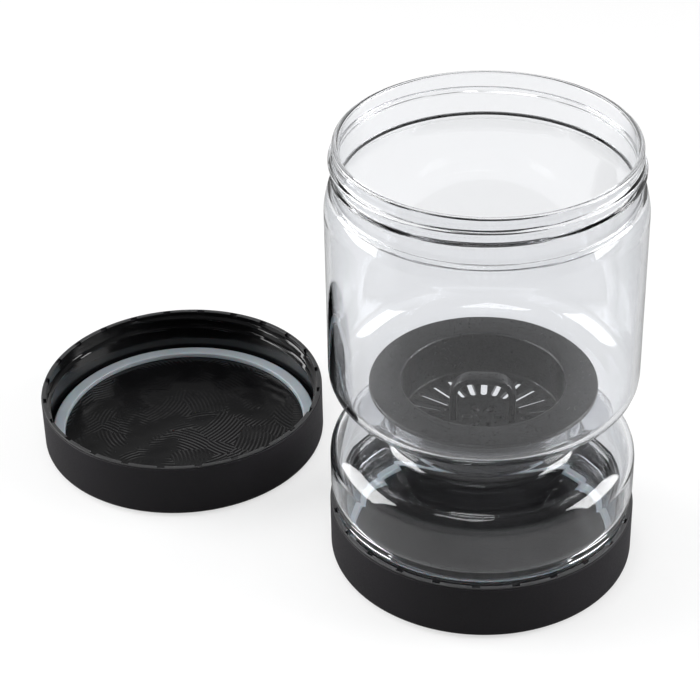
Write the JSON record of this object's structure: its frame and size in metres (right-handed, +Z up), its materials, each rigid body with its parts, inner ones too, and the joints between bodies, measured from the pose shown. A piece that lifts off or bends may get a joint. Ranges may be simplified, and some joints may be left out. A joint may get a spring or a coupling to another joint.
{
  "type": "food keeper jar",
  "caption": "Hourglass keeper jar with a screw lid at each end and a strainer in its waist that lifts out by a loop; the top lid lies off beside it, mouth up.",
  "frame": {"origin": "on the jar's axis, at the underside of the base lid, where the keeper rests", "axes": "+Z up along the jar's axis towards the open mouth, +X to the viewer's right, away from the lid that lies off, +Y to the back"},
  "size_m": [0.2189, 0.164, 0.1598],
  "materials": {
    "clear_glass": "clear, smooth, fire-polished rims",
    "black_strainer_plastic": "satin moulded polypropylene",
    "black_silicone": "soft moulded silicone",
    "matte_black_shell": "fine matte moulded ABS",
    "gloss_black_liner": "polished moulded polypropylene",
    "clear_silicone": "translucent moulded silicone"
  },
  "bodies": {
    "jar": {"jar_body": "clear_glass"},
    "strainer_set": {"strainer": "black_strainer_plastic", "strainer_sleeve": "black_silicone"},
    "base_seal": {"base_lid_seal": "clear_silicone"},
    "base_lid": {"base_lid_shell": "matte_black_shell", "base_lid_liner": "gloss_black_liner"},
    "top_lid": {"top_lid_shell": "matte_black_shell", "top_lid_liner": "gloss_black_liner", "top_lid_seal": "clear_silicone"}
  },
  "joints": [
    {"name": "strainer_lift", "type": "slide", "parent": "jar", "child": "strainer_set", "axis": [0, 0, 1], "range_m": [0, 0.115]},
    {"name": "base_lid_travel", "type": "slide", "parent": "jar", "child": "base_seal", "axis": [0, 0, -1], "range_m": [0, 0.00841]},
    {"name": "base_lid_turn", "type": "hinge", "parent": "base_seal", "child": "base_lid", "pos_m": [0, 0, 0], "axis": [0, 0, -1], "range_deg": [0, 720]},
    {"name": "top_lid_lift", "type": "slide", "parent": "jar", "child": "top_lid", "axis": [0, 0, 1], "range_m": [0, 0.15]}
  ],
  "couplings": [
    {"joint": "base_lid_travel", "follows": "base_lid_turn", "m_per_rad": 0.00066845}
  ]
}
